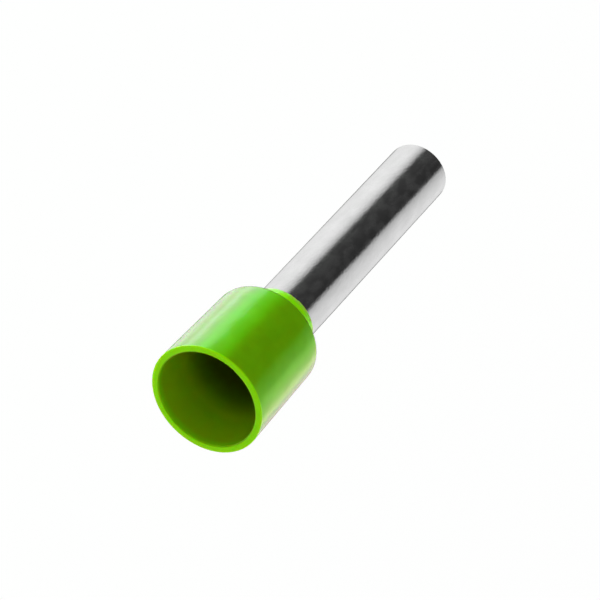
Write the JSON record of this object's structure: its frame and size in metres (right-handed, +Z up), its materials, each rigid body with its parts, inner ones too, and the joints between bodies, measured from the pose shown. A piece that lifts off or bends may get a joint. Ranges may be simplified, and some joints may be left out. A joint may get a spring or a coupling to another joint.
{
  "type": "insulated wire ferrule",
  "caption": "Insulated wire ferrule: a tinned copper tube with a flared end in a green moulded plastic collar, crimped on stranded wire before it goes into a terminal.",
  "frame": {"origin": "centre of the tube's cut end, on which the ferrule stands", "axes": "+Z up the tube and out of the collar's mouth, the way the wire leaves"},
  "size_m": [0.007, 0.007, 0.0269],
  "materials": {
    "green_plastic": "gloss",
    "tinned_metal": "gloss"
  },
  "bodies": {
    "root": {"collar": "green_plastic", "tube": "tinned_metal"}
  },
  "joints": []
}
